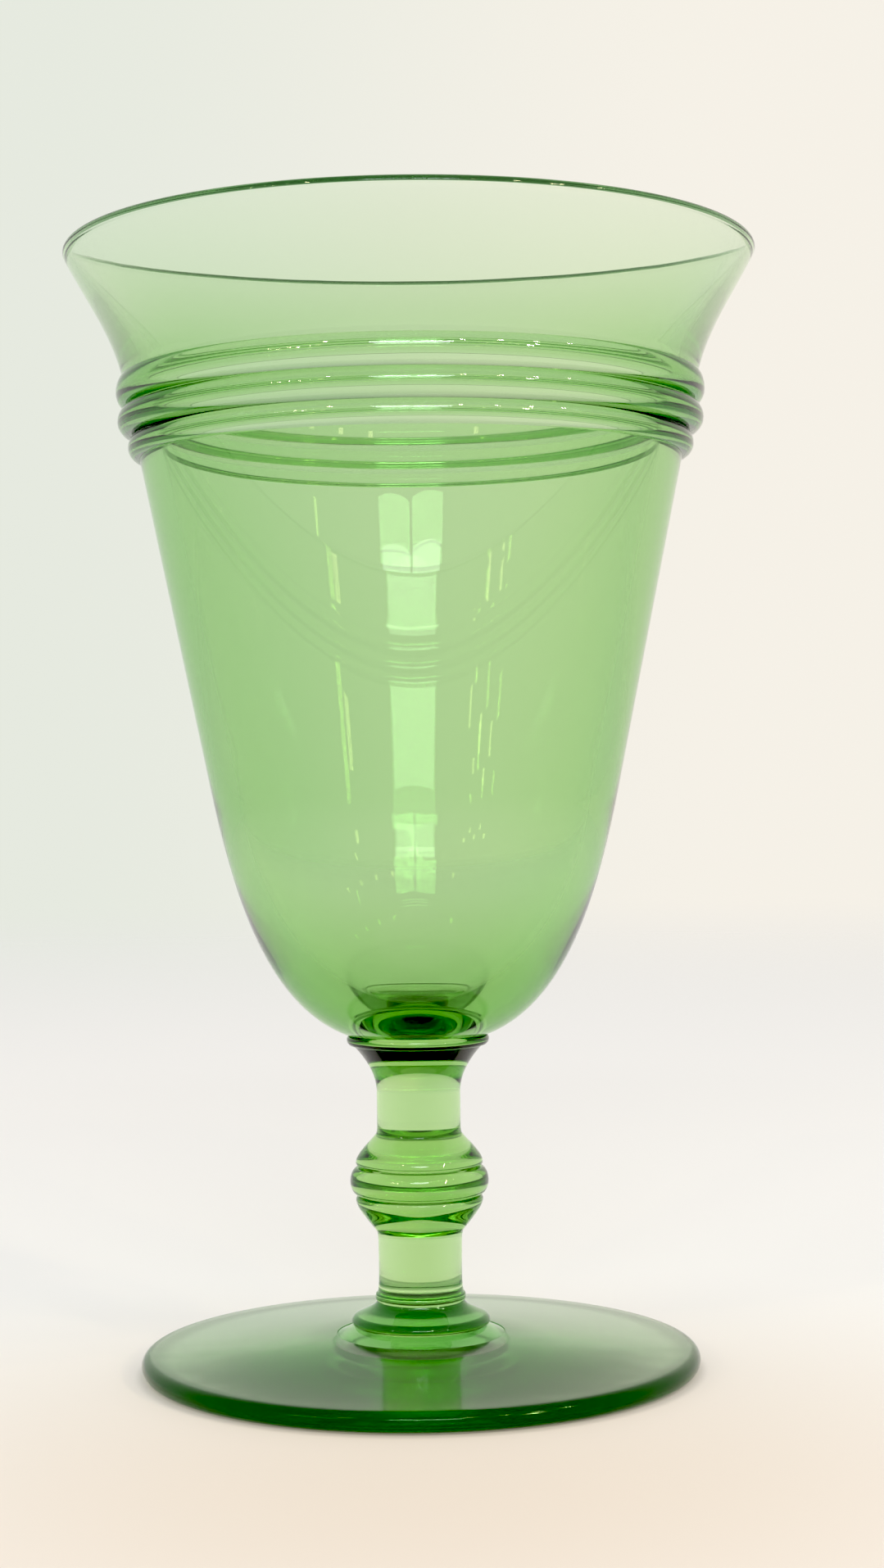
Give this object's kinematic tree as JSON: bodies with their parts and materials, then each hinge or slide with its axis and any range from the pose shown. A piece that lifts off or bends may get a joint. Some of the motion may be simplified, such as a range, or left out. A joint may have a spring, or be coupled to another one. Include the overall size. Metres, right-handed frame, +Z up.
{
  "type": "footed goblet",
  "caption": "Green glass footed goblet: deep tapered bowl with a flared lip and trailed rings, ringed knop stem, wide round foot. Holds a drink.",
  "frame": {"origin": "centre of the foot's underside, on the surface that the goblet stands on", "axes": "+Z up along the axis of the bowl, stem and foot; X and Y lie in the standing surface and are interchangeable"},
  "size_m": [0.1018, 0.1018, 0.165],
  "materials": {
    "bowl_glass": "clear, fire polished, pale apple green where thin",
    "trail_glass": "clear, fire polished, apple green",
    "stem_glass": "clear, fire polished, solid apple green, near black where it turns away",
    "foot_glass": "clear, fire polished, apple green with a dark green edge"
  },
  "bodies": {
    "root": {"bowl": "bowl_glass", "thread_upper": "trail_glass", "thread_middle": "trail_glass", "thread_lower": "trail_glass", "bowl_wafer": "stem_glass", "upper_stem": "stem_glass", "ringed_knop": "stem_glass", "lower_stem": "stem_glass", "foot_wafer": "stem_glass", "foot": "foot_glass"}
  },
  "joints": []
}
